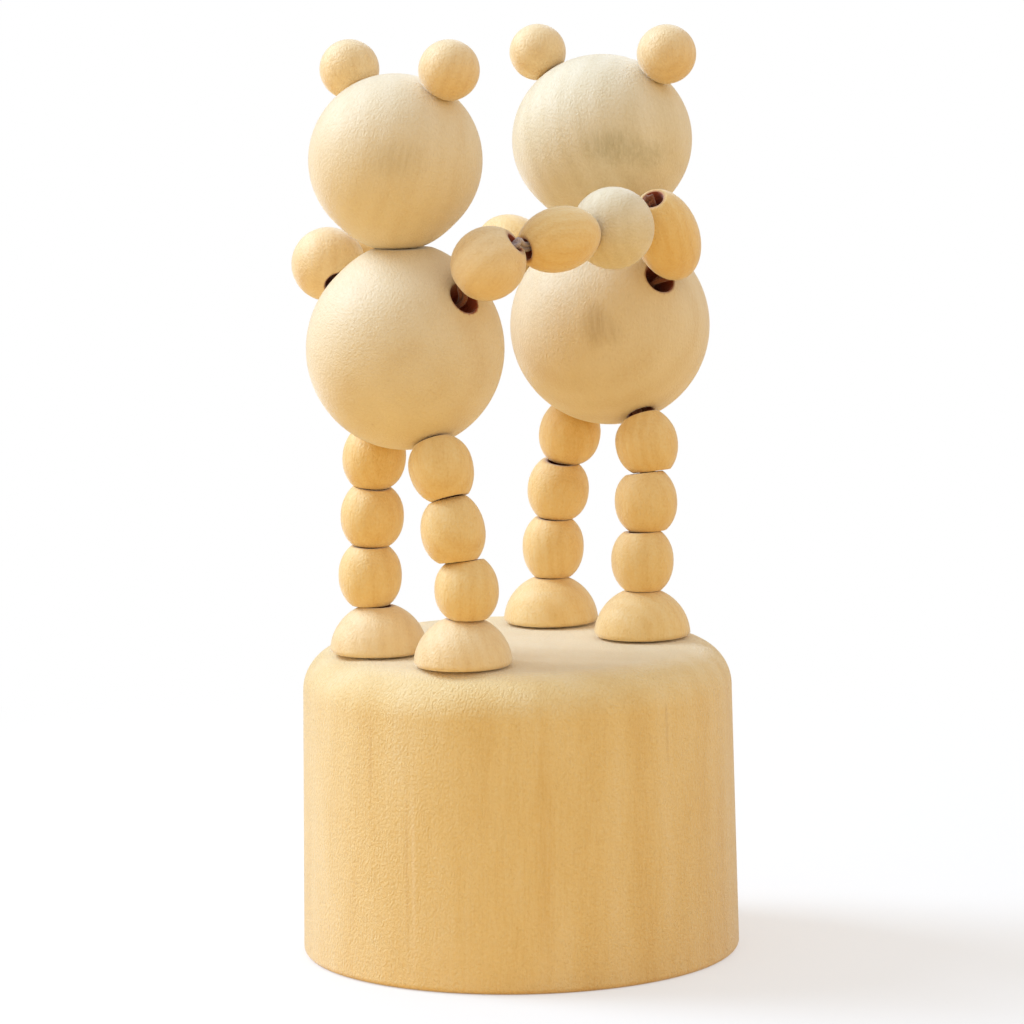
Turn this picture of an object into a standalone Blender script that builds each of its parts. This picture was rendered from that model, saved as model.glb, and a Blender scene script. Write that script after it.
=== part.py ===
"""Two turned-wood bears, hand in hand on a push-up base.

Millimetres in the tables, metres in Blender. The origin is the middle of the
whole outline at the table. +Z is up. Bear A stands at -X and looks along +X,
bear B stands at +X and looks along -X, so A's right and B's left are at -Y.
"""
import math

import bmesh
import bpy
from mathutils import Matrix, Vector

MM = 0.001

# The base's axis lies a little off the middle of the outline, because bear B's body is the larger.
BASE_AXIS_X = -0.41

# Base block: a short turned drum, bored from below for the push button.
BASE_BOTTOM_RADIUS = 28.03
BASE_TOP_RADIUS = 27.45
BASE_HEIGHT = 39.47
BASE_TOP_ROUND = 5.5
BASE_FOOT_ROUND = 0.8
BORE_RADIUS = 22.3
BORE_CEILING = 30.0
CORD_HOLE_RADIUS = 1.6

# Push button, a plunger that rides in the bore, and the coil spring above it.
BUTTON_RADIUS = 21.95
BUTTON_BOTTOM = 6.0
BUTTON_TOP = 15.0
KNOT_POCKET_RADIUS = 2.7
KNOT_POCKET_DEPTH = 4.5
SPRING_RADIUS = 7.0
SPRING_WIRE_RADIUS = 0.55
SPRING_TURNS = 5

# Beads: outer radius, half length, radius of the flat at each end, radius of the hole.
LEG_BEAD = (4.05, 3.52, 2.25, 1.75)
HOLE_RADIUS = 1.6
SHOULDER_HOLE_RADIUS = 2.25
CHAMBER_RADIUS = 3.8
HOLE_START = 2.1
# A small roll, so that no drilled facet lies exactly in a facet of the piece.
DRILL_ROLL = 5.0

FOOT_RADIUS = 6.2
FOOT_HEIGHT = 5.55
FOOT_EDGE = 0.3
FOOT_GAP = 0.25

# Cords: one loop through each pair of arms, and one to each head.
LOOP_CORD_RADIUS = 0.55
HEAD_CORD_RADIUS = 0.4
LOOP_CORD_SHIFT = -0.6
HEAD_CORD_SHIFT = 0.7
KNOT_SWELL = 1.5
# Two knots in one pocket lie this much further apart than the cords above them.
KNOTS_APART = 1.8
# A cord leans on the near side of a bead's hole, and runs straight out a little before a sharp turn.
STRAIGHT_OUT = 1.5
LEAN_IN_HOLE = 0.5
SHARP_TURN = 48.0

BEAD_STEPS = 14
BALL_STEPS = 24

PALE_WOOD = (0.82, 0.63, 0.38)
BASE_WOOD = (0.84, 0.68, 0.45)
CORD_COLOUR = (0.72, 0.66, 0.66)
SPRING_COLOUR = (0.55, 0.55, 0.56)

# Feet stand on the base top, at these x, y.
FEET = {
    "a_left": (-16.62, 7.95),
    "a_right": (-16.75, -7.75),
    "b_right": (14.5, 8.5),
    "b_left": (14.1, -8.7),
}

# Leg beads from the foot up: x, y, z of the middle, and the lean of its axis towards -Y in degrees.
LEGS = {
    "a_left": [(-16.75, 8.75, 49.15, 1), (-16.4, 9.05, 56.5, 4), (-16.5, 8.8, 64.05, 12)],
    "a_right": [(-16.6, -8.35, 49.1, -4), (-17.4, -7.35, 56.5, -12), (-17.9, -5.95, 64.1, -26)],
    "b_right": [(14.9, 8.6, 49.15, 2), (15.6, 8.2, 56.55, 7), (16.7, 7.3, 64.1, 16)],
    "b_left": [(14.5, -8.8, 49.15, -1), (15.2, -8.5, 56.5, -4), (16.1, -7.75, 64.05, -15)],
}

# Body and head of each bear: middle, radius across, half height.
BODIES = {"a": ((-17.1, 1.4, 78.85), 12.38, 12.3), "b": ((17.4, -0.3, 79.2), 12.9, 12.7)}
HEADS = {"a": ((-17.5, 2.1, 102.45), 10.85, 11.0), "b": ((17.05, 0.3, 103.35), 11.6, 11.15)}
NECK_HOLE_DEPTH = 9.0

# Ears: middle and radius. Each has a flat that is glued to its head.
EARS = {
    "a_left": ((-17.3, 10.5, 113.6), 3.8),
    "a_right": ((-15.5, -5.8, 113.75), 3.8),
    "b_right": ((14.2, 8.95, 114.6), 3.75),
    "b_left": ((19.8, -8.8, 114.1), 3.8),
}
EAR_GAP = 0.12

# Shoulder holes: direction from the body's middle, and how far out the cord bends over the hole's edge.
SHOULDERS = {
    "a_right": (0.0, -0.81, 0.58),
    "a_left": (0.0, 0.81, 0.58),
    "b_left": (0.0, -0.81, 0.58),
    "b_right": (-0.2, 0.8, 0.56),
}
SHOULDER_EDGE = 11.8

# Arm beads in the order the cord takes them from bear A's shoulder to bear B's:
# node name, middle, axis, outer radius, half length, radius of the end flat.
ARMS = {
    "minus_y": [
        ("a_right_arm_1", (-15.2, -11.9, 89.95), (0.62, -0.5, 0.6), 4.55, 4.2, 1.9),
        ("a_right_arm_2", (-5.95, -15.0, 92.7), (0.965, -0.18, 0.18), 4.15, 5.2, 1.8),
        ("b_left_arm_2", (4.55, -14.5, 93.3), (0.98, 0.1, 0.16), 5.15, 4.8, 1.9),
        ("b_left_arm_1", (15.0, -13.8, 91.4), (0.66, 0.1, -0.745), 4.15, 5.6, 1.8),
    ],
    "plus_y": [
        ("a_left_arm_1", (-16.8, 15.8, 88.6), (0.35, 0.78, 0.52), 4.7, 4.3, 1.9),
        ("a_left_arm_2", (-4.7, 18.8, 84.3), (0.93, 0.1, -0.35), 4.15, 5.4, 1.8),
        ("b_right_arm_2", (6.5, 19.2, 83.0), (0.9, 0.12, 0.42), 4.9, 4.5, 1.9),
        ("b_right_arm_1", (13.6, 15.3, 88.9), (0.02, -0.956, -0.287), 4.15, 5.6, 1.8),
    ],
}

# Pivots of the moving pieces. Leg beads from the foot up, the body's lean and the neck, as x, z of lines
# along Y, then y, z of the lines along X that the hand beads swing about. A body leans about the one
# point that takes it as far as its four tipping leg joints together would.
LEG_PIVOTS = {
    "a": [(-14.45, 45.45), (-14.6, 52.8), (-14.9, 60.3)],
    "b": [(16.6, 45.45), (17.3, 52.85), (18.2, 60.3)],
}
BODY_PIVOTS = {"a": (-13.19, 56.58), "b": (19.29, 56.39)}
NECK_PIVOTS = {"a": (-15.1, 91.3), "b": (19.4, 92.05)}
HAND_LINES = {"minus_y": (-12.4, 90.4), "plus_y": (15.6, 88.7)}


def clear_file():
    for old in list(bpy.data.objects):
        bpy.data.objects.remove(old, do_unlink=True)


def spot(x, y, z):
    """A point measured from the base's axis, in metres."""
    return Vector((x + BASE_AXIS_X, y, z)) * MM


def make_material(name, colour, roughness, metallic=0.0):
    mat = bpy.data.materials.new(name)
    mat.use_nodes = True
    shader = mat.node_tree.nodes["Principled BSDF"]
    shader.inputs["Base Color"].default_value = (*colour, 1.0)
    shader.inputs["Roughness"].default_value = roughness
    shader.inputs["Metallic"].default_value = metallic
    mat.diffuse_color = (*colour, 1.0)
    return mat


def object_from_bmesh(name, bm, mat, smooth=True):
    bmesh.ops.recalc_face_normals(bm, faces=bm.faces[:])
    mesh = bpy.data.meshes.new(name)
    bm.to_mesh(mesh)
    bm.free()
    mesh.materials.append(mat)
    for face in mesh.polygons:
        face.use_smooth = smooth
    obj = bpy.data.objects.new(name, mesh)
    bpy.context.scene.collection.objects.link(obj)
    return obj


def turned(profile, steps, closed):
    """Spin a profile of (radius, z) in millimetres about Z."""
    bm = bmesh.new()
    verts = [bm.verts.new((r * MM, 0.0, z * MM)) for r, z in profile]
    edges = [bm.edges.new(pair) for pair in zip(verts, verts[1:])]
    if closed:
        edges.append(bm.edges.new((verts[-1], verts[0])))
    bmesh.ops.spin(bm, geom=verts + edges, cent=(0, 0, 0), axis=(0, 0, 1),
                   angle=2 * math.pi, steps=steps, use_merge=True)
    bmesh.ops.remove_doubles(bm, verts=bm.verts[:], dist=0.001 * MM)
    return bm


def ball(radius_across, half_height, steps):
    bm = bmesh.new()
    bmesh.ops.create_uvsphere(bm, u_segments=steps, v_segments=steps // 2, radius=1.0)
    bmesh.ops.scale(bm, vec=(radius_across * MM, radius_across * MM, half_height * MM), verts=bm.verts[:])
    return bm


def bead_profile(radius, half, flat, hole, rows=6, fullness=2.2):
    """A rounded bead cut flat at both ends, with a hole along its axis."""
    reach = half / (1 - (flat / radius) ** fullness) ** (1 / fullness)
    outside = []
    for i in range(rows + 1):
        z = -half + 2 * half * (0.5 - 0.5 * math.cos(math.pi * i / rows))
        r = radius * (1 - abs(z / reach) ** fullness) ** (1 / fullness)
        outside.append((r, z))
    return [(hole, -half)] + outside + [(hole, half)]


def stand(obj, middle, axis):
    """Put a piece modelled about Z at a place, with its Z turned to an axis."""
    turn = Vector((0, 0, 1)).rotation_difference(Vector(axis).normalized()).to_matrix().to_4x4()
    obj.data.transform(Matrix.Translation(spot(*middle)) @ turn)


def hang_on_pivot(obj, pivot):
    """Move an object's origin to its pivot and leave its shape where it is."""
    obj.data.transform(Matrix.Translation(-pivot))
    obj.location = pivot


def drill(obj, start, direction, radius, length, steps=12):
    """Cut a round hole from a point along a direction."""
    bm = bmesh.new()
    bmesh.ops.create_cone(bm, cap_ends=True, segments=steps, radius1=radius * MM, radius2=radius * MM,
                          depth=length * MM)
    bmesh.ops.translate(bm, vec=(0, 0, 0.5 * length * MM), verts=bm.verts[:])
    cutter = object_from_bmesh("cutter", bm, obj.data.materials[0])
    turn = Vector((0, 0, 1)).rotation_difference(Vector(direction).normalized()).to_matrix().to_4x4()
    roll = Matrix.Rotation(math.radians(DRILL_ROLL), 4, "Z")
    cutter.data.transform(Matrix.Translation(start) @ turn @ roll)
    cut_away(obj, cutter)


def cut_away(obj, cutter):
    """Subtract a cutter, keep the result as the object's own mesh and drop the cutter."""
    step = obj.modifiers.new("cut", "BOOLEAN")
    step.operation = "DIFFERENCE"
    step.solver = "EXACT"
    step.object = cutter
    bpy.context.view_layer.update()
    graph = bpy.context.evaluated_depsgraph_get()
    result = bpy.data.meshes.new_from_object(obj.evaluated_get(graph))
    obj.modifiers.clear()
    obj.data = result
    bpy.data.objects.remove(cutter, do_unlink=True)
    for face in result.polygons:
        face.use_smooth = True


def lean_axis(degrees):
    """The axis of a leg bead whose top leans towards -Y."""
    lean = math.radians(degrees)
    return Vector((0.0, -math.sin(lean), math.cos(lean)))


def build_base(wood):
    top = BASE_HEIGHT
    profile = [(0.0, BORE_CEILING), (BORE_RADIUS, BORE_CEILING), (BORE_RADIUS, 0.0)]
    profile.append((BASE_BOTTOM_RADIUS - BASE_FOOT_ROUND, 0.0))
    profile.append((BASE_BOTTOM_RADIUS, BASE_FOOT_ROUND))
    for i in range(6):
        angle = math.radians(18 * i)
        profile.append((BASE_TOP_RADIUS - BASE_TOP_ROUND * (1 - math.cos(angle)),
                        top - BASE_TOP_ROUND * (1 - math.sin(angle))))
    profile.append((0.0, top))
    bm = turned(profile, 48, closed=False)
    bmesh.ops.translate(bm, vec=spot(0, 0, 0), verts=bm.verts[:])
    base = object_from_bmesh("base_block", bm, wood)
    for x, y in FEET.values():
        drill(base, spot(x, y, BORE_CEILING - 1), (0, 0, 1), CORD_HOLE_RADIUS, top - BORE_CEILING + 2)
    return base


def build_button(wood):
    rim = 0.6
    profile = [
        (0.0, BUTTON_BOTTOM), (BUTTON_RADIUS - rim, BUTTON_BOTTOM), (BUTTON_RADIUS, BUTTON_BOTTOM + rim),
        (BUTTON_RADIUS, BUTTON_TOP - rim), (BUTTON_RADIUS - rim, BUTTON_TOP), (0.0, BUTTON_TOP),
    ]
    bm = turned(profile, 40, closed=False)
    bmesh.ops.translate(bm, vec=spot(0, 0, 0), verts=bm.verts[:])
    button = object_from_bmesh("push_button", bm, wood)
    for x, y in FEET.values():
        below = spot(x, y, BUTTON_BOTTOM - 1)
        inside = spot(x, y, BUTTON_BOTTOM + 1)
        drill(button, below, (0, 0, 1), KNOT_POCKET_RADIUS, KNOT_POCKET_DEPTH + 1)
        drill(button, inside, (0, 0, 1), CORD_HOLE_RADIUS, BUTTON_TOP - BUTTON_BOTTOM)
    hang_on_pivot(button, spot(0, 0, BUTTON_BOTTOM))


def build_spring(steel):
    gap = 0.3
    low = BUTTON_TOP + gap + SPRING_WIRE_RADIUS
    high = BORE_CEILING - gap - SPRING_WIRE_RADIUS
    steps = 12 * SPRING_TURNS
    points = []
    for i in range(steps + 1):
        angle = 2 * math.pi * i / 12
        height = low + (high - low) * i / steps
        points.append(spot(SPRING_RADIUS * math.cos(angle), SPRING_RADIUS * math.sin(angle), height))
    make_cord("return_spring", points, SPRING_WIRE_RADIUS, steel, knots=False, sides=1)


def build_feet(wood):
    for side, (x, y) in FEET.items():
        outside = [(HOLE_RADIUS, 0.0), (FOOT_RADIUS - FOOT_EDGE, 0.0)]
        for i in range(6):
            height = FOOT_EDGE + (FOOT_HEIGHT - FOOT_EDGE) * math.sin(math.radians(18 * i))
            outside.append((math.sqrt(FOOT_RADIUS ** 2 - height ** 2), height))
        outside.append((HOLE_RADIUS, FOOT_HEIGHT))
        foot = object_from_bmesh("foot_" + side, turned(outside, 18, closed=True), wood)
        stand(foot, (x, y, BASE_HEIGHT + FOOT_GAP), (0, 0, 1))


def build_legs(wood):
    for side, beads in LEGS.items():
        for i, (x, y, z, lean) in enumerate(beads):
            radius, half, flat, hole = LEG_BEAD
            bm = turned(bead_profile(radius, half, flat, hole), BEAD_STEPS, closed=True)
            bead = object_from_bmesh("%s_leg_%d" % (side, i + 1), bm, wood)
            stand(bead, (x, y, z), lean_axis(lean))
            pivot_x, pivot_z = LEG_PIVOTS[side[0]][i]
            hang_on_pivot(bead, spot(pivot_x, y, pivot_z))


def build_bodies(wood):
    for bear, (middle, radius, half) in BODIES.items():
        body = object_from_bmesh(bear + "_body", ball(radius, half, BALL_STEPS), wood)
        stand(body, middle, (0, 0, 1))
        chamber = object_from_bmesh("chamber", ball(CHAMBER_RADIUS, CHAMBER_RADIUS, 16), wood)
        stand(chamber, middle, (0.3, 0.2, 1))
        cut_away(body, chamber)
        holes = [((0, 0, 1), HOLE_RADIUS)]
        for side in (bear + "_left", bear + "_right"):
            holes.append((leg_direction(bear, side), HOLE_RADIUS))
            holes.append((SHOULDERS[side], SHOULDER_HOLE_RADIUS))
        for direction, hole_radius in holes:
            out = Vector(direction).normalized()
            drill(body, spot(*(Vector(middle) + out * HOLE_START)), out, hole_radius, radius + 2)
        pivot_x, pivot_z = BODY_PIVOTS[bear]
        hang_on_pivot(body, spot(pivot_x, middle[1], pivot_z))


def leg_direction(bear, side):
    """From the body's middle to the middle of the leg's top bead."""
    top_bead = Vector(LEGS[side][2][:3])
    return (top_bead - Vector(BODIES[bear][0])).normalized()


def build_heads(wood):
    for bear, (middle, radius, half) in HEADS.items():
        head = object_from_bmesh(bear + "_head", ball(radius, half, BALL_STEPS), wood)
        stand(head, middle, (0, 0, 1))
        x, y, z = middle
        drill(head, spot(x, y, z - half - 1), (0, 0, 1), HOLE_RADIUS, NECK_HOLE_DEPTH + 1)
        pivot_x, pivot_z = NECK_PIVOTS[bear]
        hang_on_pivot(head, spot(pivot_x, y, pivot_z))


def build_ears(wood):
    for side, (middle, radius) in EARS.items():
        head_middle, across, half = HEADS[side[0]]
        away = (Vector(middle) - Vector(head_middle)).normalized()
        surface = 1 / math.sqrt((away.x ** 2 + away.y ** 2) / across ** 2 + away.z ** 2 / half ** 2)
        seat = Vector(head_middle) + away * (surface + EAR_GAP)
        bm = ball(radius, radius, 12)
        bmesh.ops.translate(bm, vec=spot(*middle), verts=bm.verts[:])
        whole = bm.verts[:] + bm.edges[:] + bm.faces[:]
        cut = bmesh.ops.bisect_plane(bm, geom=whole, plane_co=spot(*seat), plane_no=-away,
                                     clear_outer=True)
        rim = [item for item in cut["geom_cut"] if isinstance(item, bmesh.types.BMEdge)]
        bmesh.ops.contextual_create(bm, geom=rim)
        bmesh.ops.triangulate(bm, faces=[face for face in bm.faces if len(face.verts) > 4])
        ear = object_from_bmesh(side + "_ear", bm, wood)
        pivot_x, pivot_z = NECK_PIVOTS[side[0]]
        hang_on_pivot(ear, spot(pivot_x, head_middle[1], pivot_z))


def build_arms(wood):
    for arm, beads in ARMS.items():
        line_y, line_z = HAND_LINES[arm]
        for name, middle, axis, radius, half, flat in beads:
            profile = bead_profile(radius, half, flat, HOLE_RADIUS, fullness=2.0)
            bead = object_from_bmesh(name, turned(profile, BEAD_STEPS, closed=True), wood)
            stand(bead, middle, axis)
            pivot = middle if name.endswith("1") else (middle[0], line_y, line_z)
            hang_on_pivot(bead, spot(*pivot))


def make_cord(name, points, radius, mat, knots=True, sides=2):
    """A round cord along a list of points, with a swelling at each knotted end."""
    curve = bpy.data.curves.new(name, "CURVE")
    curve.dimensions = "3D"
    curve.bevel_depth = radius * MM
    curve.bevel_resolution = sides
    curve.use_fill_caps = True
    spline = curve.splines.new("POLY")
    spline.points.add(len(points) - 1)
    for target, point in zip(spline.points, points):
        target.co = (*point, 1.0)
    if knots:
        for target in spline.points[1:3]:
            target.radius = KNOT_SWELL
    curve.materials.append(mat)
    cord = bpy.data.objects.new(name, curve)
    bpy.context.scene.collection.objects.link(cord)
    return cord


def leg_route(side, shift):
    """The cord's way from its knot in the button up to the middle of the body."""
    foot_x, foot_y = FEET[side]
    route = [spot(foot_x + shift * (KNOTS_APART - 1), foot_y, z) for z in (7.4, 8.0, 9.0, 9.6)]
    route += [spot(foot_x, foot_y, z) for z in (11.5, 18.0, 24.0, 31.0, 39.0, 42.0)]
    below = Vector((foot_x, foot_y, BASE_HEIGHT + FOOT_GAP + FOOT_HEIGHT))
    half = LEG_BEAD[1]
    for x, y, z, lean in LEGS[side]:
        middle = Vector((x, y, z))
        step = lean_axis(lean) * half
        route += [spot(*((below + middle - step) / 2)), spot(*middle)]
        below = middle + step
    centre = Vector(BODIES[side[0]][0])
    down = leg_direction(side[0], side)
    route.append(spot(*((below + centre + down * 12.4) / 2)))
    route += [spot(*(centre + down * reach)) for reach in (7.5, 3.4)]
    return [point + Vector((shift, 0, 0)) * MM for point in route]


def shoulder_mouth(side):
    return Vector(BODIES[side[0]][0]) + Vector(SHOULDERS[side]).normalized() * SHOULDER_EDGE


def shoulder_route(side, shift):
    """Out of the body through a shoulder hole, on the shoulder's own side of the middle."""
    centre = Vector(BODIES[side[0]][0])
    out = Vector(SHOULDERS[side]).normalized()
    inner = centre + Vector((shift, 2.1 if out.y > 0 else -2.1, 0))
    return [spot(*inner)] + [spot(*(centre + out * reach)) for reach in (3.6, 8.0, SHOULDER_EDGE)]


def leave_bead(end, along, toward):
    """Points where a cord leaves a bead's end and heads for the next point."""
    way = toward - end
    sideways = way - along * way.dot(along)
    if sideways.length > 0:
        end = end + sideways.normalized() * min(LEAN_IN_HOLE, sideways.length / 2)
    if math.degrees(way.angle(along)) < SHARP_TURN:
        return [end]
    return [end, end + along * min(STRAIGHT_OUT, way.length / 4)]


def arm_route(arm, first_mouth, last_mouth):
    """Through the four beads of one pair of arms, from bear A's shoulder to bear B's."""
    ends = [(first_mouth, None, first_mouth)]
    for name, middle, axis, radius, half, flat in ARMS[arm]:
        along = Vector(axis).normalized()
        ends.append((Vector(middle) - along * half, along, Vector(middle) + along * half))
    ends.append((last_mouth, None, last_mouth))
    route = []
    for before, bead, after in zip(ends, ends[1:], ends[2:]):
        start, along, end = bead
        route += leave_bead(start, -along, before[2])[::-1]
        route.append((start + end) / 2)
        route += leave_bead(end, along, after[0])
    return [spot(*point) for point in route]


def build_cords(cord):
    loops = {"minus_y": ("a_right", "b_left", LOOP_CORD_SHIFT), "plus_y": ("a_left", "b_right", 0.0)}
    for arm, (first, last, shift) in loops.items():
        mouths = [shoulder_mouth(side) for side in (first, last)]
        way_out = leg_route(first, shift) + shoulder_route(first, shift)
        way_back = leg_route(last, shift) + shoulder_route(last, shift)
        points = way_out + arm_route(arm, *mouths) + way_back[::-1]
        loop = make_cord("arm_cord_" + arm, points, LOOP_CORD_RADIUS, cord)
        for target in loop.data.splines[0].points[-3:-1]:
            target.radius = KNOT_SWELL
    for side in ("a_right", "b_left"):
        bear = side[0]
        x, y, z = BODIES[bear][0]
        head_x, head_y, head_z = HEADS[bear][0]
        low = head_z - HEADS[bear][2]
        points = leg_route(side, HEAD_CORD_SHIFT)
        points += [spot(x + 0.5, y - 0.3, z)]
        points += [spot(x, y, z + rise) for rise in (3.6, 8.0, 12.0)]
        points += [spot(head_x, head_y, low + 1.0), spot(head_x, head_y, low + NECK_HOLE_DEPTH - 1.5)]
        make_cord(bear + "_head_cord", points, HEAD_CORD_RADIUS, cord)


def build():
    clear_file()
    base_wood = make_material("base_wood", BASE_WOOD, 0.6)
    wood = make_material("pale_wood", PALE_WOOD, 0.55)
    cord = make_material("cord", CORD_COLOUR, 0.9)
    steel = make_material("spring_steel", SPRING_COLOUR, 0.35, metallic=1.0)
    build_base(base_wood)
    build_button(base_wood)
    build_spring(steel)
    build_feet(wood)
    build_legs(wood)
    build_bodies(wood)
    build_heads(wood)
    build_ears(wood)
    build_arms(wood)
    build_cords(cord)


build()
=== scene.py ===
"""Two turned-wood bears, hand in hand on a push-up base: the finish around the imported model.

The tables are in millimetres from the base block's own axis, as in the part's source, and Blender
works in metres. +Z is up. Bear A stands at -X and looks along +X, bear B stands at +X and looks
along -X, so A's right hand and B's left hand are on the -Y side, towards the camera.
"""
import math
import random

import bmesh
import bpy
from mathutils import Matrix, Vector, geometry


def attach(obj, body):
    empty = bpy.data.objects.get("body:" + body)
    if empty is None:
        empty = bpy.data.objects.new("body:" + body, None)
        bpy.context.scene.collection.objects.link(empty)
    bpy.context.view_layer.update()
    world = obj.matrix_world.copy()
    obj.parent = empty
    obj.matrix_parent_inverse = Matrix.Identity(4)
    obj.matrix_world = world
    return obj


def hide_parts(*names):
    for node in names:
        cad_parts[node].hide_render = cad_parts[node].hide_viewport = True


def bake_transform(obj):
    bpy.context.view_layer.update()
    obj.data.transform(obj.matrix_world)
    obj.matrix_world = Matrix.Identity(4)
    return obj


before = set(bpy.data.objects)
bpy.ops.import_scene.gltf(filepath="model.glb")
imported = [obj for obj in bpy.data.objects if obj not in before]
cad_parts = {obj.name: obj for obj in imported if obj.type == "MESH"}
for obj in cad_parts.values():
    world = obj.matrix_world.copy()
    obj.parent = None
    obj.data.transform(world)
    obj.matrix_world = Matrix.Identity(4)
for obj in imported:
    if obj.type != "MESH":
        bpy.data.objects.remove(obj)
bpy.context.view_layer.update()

MM = 0.001
UP = Vector((0.0, 0.0, 1.0))
chance = random.Random(11)

# The base block's axis in the frame: the origin is the middle of the whole outline.
BASE_AXIS_X = -0.41

# Base block, push button and spring, as the part has them.
BASE_BOTTOM_RADIUS = 28.03
BASE_TOP_RADIUS = 27.45
BASE_HEIGHT = 39.47
BASE_TOP_ROUND = 5.5
BASE_FOOT_ROUND = 0.8
BORE_RADIUS = 22.3
BORE_CEILING = 30.0
CORD_HOLE_RADIUS = 1.6
BUTTON_RADIUS = 21.95
BUTTON_BOTTOM = 6.0
BUTTON_TOP = 15.0
KNOT_POCKET_RADIUS = 2.7
KNOT_POCKET_DEPTH = 4.5
SPRING_RADIUS = 7.0
SPRING_WIRE_RADIUS = 0.55
SPRING_TURNS = 5

# Beads: a leg bead's outer radius, the radius of its flats and its half height, and how full the sides are.
LEG_BEAD_RADIUS = 4.02
LEG_BEAD_FLAT = 2.4
LEG_BEAD_HALF = 3.7
LEG_BEAD_FULLNESS = 2.15
ARM_BEAD_FULLNESS = 2.0
# What is left between two beads that rest on each other, and between a leg and its body.
SEAM_ROOM = 0.1
HIP_ROOM = {"a_left": 0.12, "a_right": 0.12, "b_right": 0.12, "b_left": 0.5}
# How much the seam at the hip faces along the leg, and the rest of it along the hole in the body.
HIP_ALONG_LEG = 0.35
# Radii of the holes in feet, leg beads and bodies, at the shoulders, in the arm beads and at the necks.
HOLE_RADIUS = 1.6
SHOULDER_HOLE_RADIUS = 2.0
ARM_HOLES = {"minus_y": 1.3, "plus_y": 1.6}
NECK_HOLE_RADIUS = 1.1
NECK_HOLE_DEPTH = 9.0
FOOT_RADIUS = 6.2
FOOT_HEIGHT = 5.8
FOOT_GAP = 0.25
FOOT_TOP = BASE_HEIGHT + FOOT_GAP + FOOT_HEIGHT
EAR_GAP = 0.12
# A worn edge on every rim, how far the drill's scorching shows around a hole, and where the wood is clean.
EDGE = 0.16
SCORCH = 0.24
CLEAN_RADIUS = CORD_HOLE_RADIUS + SCORCH + 0.1
# The hollow where the drilled holes of a body meet.
CHAMBER_RADIUS = 6.4

FEET = {
    "a_left": (-16.62, 7.95),
    "a_right": (-16.75, -7.75),
    "b_right": (14.5, 8.5),
    "b_left": (14.1, -8.7),
}

# Leg beads from the foot up: x, y, z of the middle, and the lean of the axis towards -Y in degrees.
LEGS = {
    "a_left": [(-16.95, 8.95, 49.45, 1), (-16.35, 9.0, 56.9, 4), (-16.2, 8.55, 64.45, 12)],
    "a_right": [(-16.55, -8.4, 49.1, -4), (-17.55, -7.2, 56.45, -13), (-18.1, -5.75, 64.55, -23)],
    "b_right": [(15.05, 8.45, 49.65, 2), (15.75, 8.05, 57.05, 7), (17.0, 7.0, 64.45, 15)],
    "b_left": [(14.35, -8.65, 49.45, -1), (15.25, -8.55, 56.9, -4), (16.2, -7.85, 64.4, -14)],
}

# Body and head of each bear: middle, radius across, half height.
BODIES = {"a": ((-17.1, 1.4, 78.73), 12.4, 12.62), "b": ((17.4, -0.3, 79.05), 12.9, 12.85)}
HEADS = {"a": ((-17.5, 2.1, 102.3), 10.85, 10.77), "b": ((17.05, 0.3, 103.05), 11.6, 11.0)}
EARS = {
    "a_left": ((-17.3, 10.5, 113.4), 3.75),
    "a_right": ((-15.5, -5.8, 113.55), 3.8),
    "b_right": ((14.15, 8.95, 114.25), 3.65),
    "b_left": ((19.8, -8.8, 114.1), 3.8),
}
SHOULDERS = {
    "a_right": (0.05, -0.83, 0.55),
    "a_left": (0.0, 0.81, 0.58),
    "b_left": (-0.12, -0.83, 0.53),
    "b_right": (-0.2, 0.8, 0.56),
}
SHOULDER_EDGE = 11.8

# Arm beads from bear A's shoulder to bear B's: name, middle, axis, outer radius, half length, flat.
ARMS = {
    "minus_y": [
        ("a_right_arm_1", (-15.2, -11.9, 89.95), (0.42, -0.67, 0.6), 4.55, 4.3, 2.0),
        ("a_right_arm_2", (-6.0, -15.0, 92.45), (0.965, -0.18, 0.18), 4.05, 5.1, 1.8),
        ("b_left_arm_2", (4.0, -14.5, 93.15), (0.98, 0.1, 0.16), 5.2, 4.8, 1.9),
        ("b_left_arm_1", (14.0, -14.05, 91.6), (0.62, 0.25, -0.745), 4.15, 6.5, 1.75),
    ],
    "plus_y": [
        ("a_left_arm_1", (-16.8, 15.8, 88.6), (0.35, 0.78, 0.52), 4.7, 4.3, 1.9),
        ("a_left_arm_2", (-6.0, 19.1, 86.7), (0.85, 0.1, -0.52), 4.15, 6.4, 1.8),
        ("b_right_arm_2", (6.5, 19.2, 83.0), (0.9, 0.12, 0.42), 4.9, 4.5, 1.9),
        ("b_right_arm_1", (14.9, 14.9, 88.6), (0.02, -0.956, -0.287), 4.15, 4.9, 1.8),
    ],
}

# Cords: the radius of each, and how far along X it lies off the middle of the holes in block and legs.
CORDS = {
    "arm_cord_minus_y": (0.55, -0.6),
    "arm_cord_plus_y": (0.55, 0.0),
    "a_head_cord": (0.4, 0.7),
    "b_head_cord": (0.4, 0.7),
}
# The knots in the button: their height, and how much further apart they lie than their cords.
KNOT_HEIGHT = 8.3
KNOTS_APART = 1.8
# The heights of a cord's points in the button and the bore, and from there up through block and foot.
BORE_HEIGHTS = (11.5, 15.0, 18.0, 24.0, 31.0)
BLOCK_HEIGHTS = (31.0, 39.0, 42.0)
# A cord leaves an arm bead a little off its middle, and runs straight out before a turn sharper than
# this many degrees, for a share of the way to the next bead.
LEAN_IN_HOLE = 0.4
SHARP_TURN = 48.0
STRAIGHT_OUT = 1.5
STRAIGHT_SHARE = 1 / 9
# How far the cord of one hand reaches into the other hand's hole.
HAND_REACH = 2.2
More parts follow.
